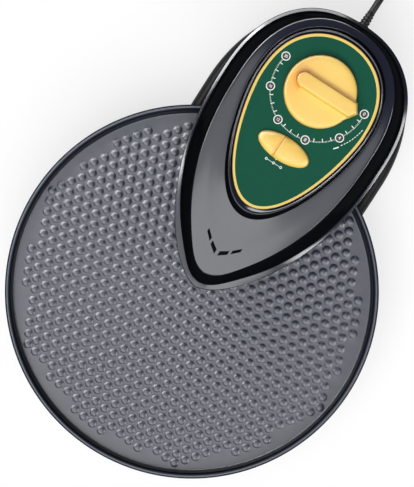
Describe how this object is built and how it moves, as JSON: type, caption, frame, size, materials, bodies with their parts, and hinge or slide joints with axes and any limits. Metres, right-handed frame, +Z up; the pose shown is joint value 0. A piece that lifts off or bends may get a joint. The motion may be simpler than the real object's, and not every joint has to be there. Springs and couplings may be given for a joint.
{
  "type": "rotating pan pizza oven",
  "caption": "Open countertop pizza oven: a round dimpled pan turns under a teardrop heater housing held by a rear tower, with a timer knob and heat slide.",
  "frame": {"origin": "centre of the object's footprint box on the table, without the cord", "axes": "+Z up, +Y from the pan back to the tower, -Y is the front, +X to the user's right"},
  "size_m": [0.3599, 0.619, 0.195],
  "materials": {
    "gloss_black": "gloss black moulded plastic",
    "matte_black": "fine matte black plastic",
    "pan_coating": "charcoal non-stick coating, satin",
    "reflector_steel": "bright aluminised steel sheet",
    "element_sheath": "dark oxidised metal sheath",
    "ceramic": "white steatite ceramic",
    "zinc_steel": "zinc plated steel",
    "chrome_wire": "bright plated wire",
    "rubber": "matte black rubber",
    "panel_green": "printed green face with a yellow border",
    "amber": "satin amber yellow plastic",
    "cord_jacket": "satin black PVC",
    "brass_blade": "bare brass",
    "wire_jacket": "white glass-fibre sleeve"
  },
  "bodies": {
    "housing": {"base_shell": "gloss_black", "bottom_cover": "matte_black", "rubber_feet": "rubber", "bottom_screws": "zinc_steel", "lower_reflector": "reflector_steel", "lower_element": "element_sheath", "lower_element_posts": "ceramic", "gearmotor": "zinc_steel", "motor_bracket": "zinc_steel", "motor_screws": "zinc_steel", "tower_shell": "gloss_black", "tower_screws": "zinc_steel", "terminal_block": "ceramic", "internal_wires": "wire_jacket", "upper_cover": "gloss_black", "chassis_plate": "zinc_steel", "cover_screws": "zinc_steel", "upper_reflector": "reflector_steel", "upper_element": "element_sheath", "upper_element_posts": "ceramic", "heat_guard": "chrome_wire", "limit_thermostat": "matte_black", "thermal_fuse": "zinc_steel", "panel_plate": "matte_black", "panel_face": "panel_green", "timer": "matte_black", "timer_bell": "brass_blade", "selector_switch": "matte_black", "strain_relief": "cord_jacket", "power_cord": "cord_jacket", "cord_coil": "cord_jacket", "cord_tie": "matte_black", "plug_body": "cord_jacket", "plug_blades": "brass_blade"},
    "turntable": {"motor_shaft": "zinc_steel", "drive_hub": "matte_black"},
    "pan": {"pan": "pan_coating", "pan_drive_ring": "zinc_steel"},
    "timer_dial": {"timer_knob": "amber", "timer_shaft": "zinc_steel"},
    "selector": {"selector_cap": "amber", "selector_stem": "matte_black"}
  },
  "joints": [
    {"name": "turntable_spin", "type": "hinge", "parent": "housing", "child": "turntable", "pos_m": [0, -0.06, 0.053], "axis": [0, 0, 1], "continuous": true},
    {"name": "pan_lift", "type": "slide", "parent": "turntable", "child": "pan", "axis": [0, 0, 1], "range_m": [0, 0.03]},
    {"name": "timer_turn", "type": "hinge", "parent": "housing", "child": "timer_dial", "pos_m": [0, 0.161, 0.18], "axis": [0, 0, 1], "range_deg": [-194.5, 6.8]},
    {"name": "selector_slide", "type": "slide", "parent": "housing", "child": "selector", "axis": [1, 0, 0], "range_m": [-0.0076, 0.0076]}
  ]
}
